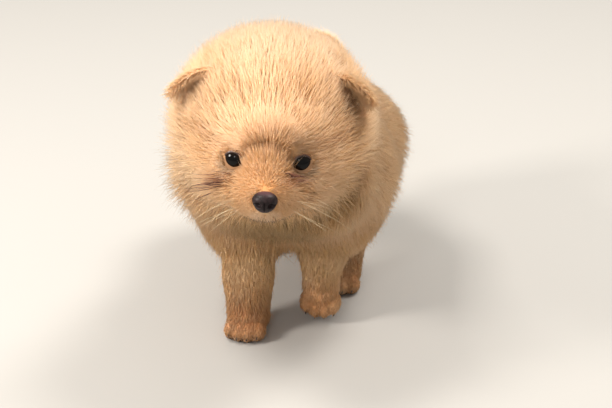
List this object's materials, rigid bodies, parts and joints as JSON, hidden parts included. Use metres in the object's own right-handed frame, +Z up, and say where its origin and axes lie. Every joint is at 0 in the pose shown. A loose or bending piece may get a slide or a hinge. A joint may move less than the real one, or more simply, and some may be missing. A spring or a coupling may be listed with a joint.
{
  "type": "pomeranian",
  "caption": "Pomeranian puppy in a walking step with one forepaw lifted, life size, still model with a long fluffy coat",
  "frame": {"origin": "on the floor, under the middle of the animal's bounding box", "axes": "+Z up; the muzzle points towards -Y; the dog's left side is +X"},
  "size_m": [0.1315, 0.236, 0.1728],
  "materials": {
    "coat": "long soft hair, cream to apricot",
    "nose_leather": "damp, fine-grained",
    "eye": "wet, glossy"
  },
  "bodies": {
    "root": {"ear_left": "coat", "ear_right": "coat", "foreleg_left": "coat", "foreleg_right": "coat", "forepaw_left": "coat", "forepaw_right": "coat", "head": "coat", "hindleg_left": "coat", "hindleg_right": "coat", "hindpaw_left": "coat", "hindpaw_right": "coat", "neck": "coat", "tail": "coat", "torso": "coat", "eye_left": "eye", "eye_right": "eye", "nose": "nose_leather"}
  },
  "joints": []
}
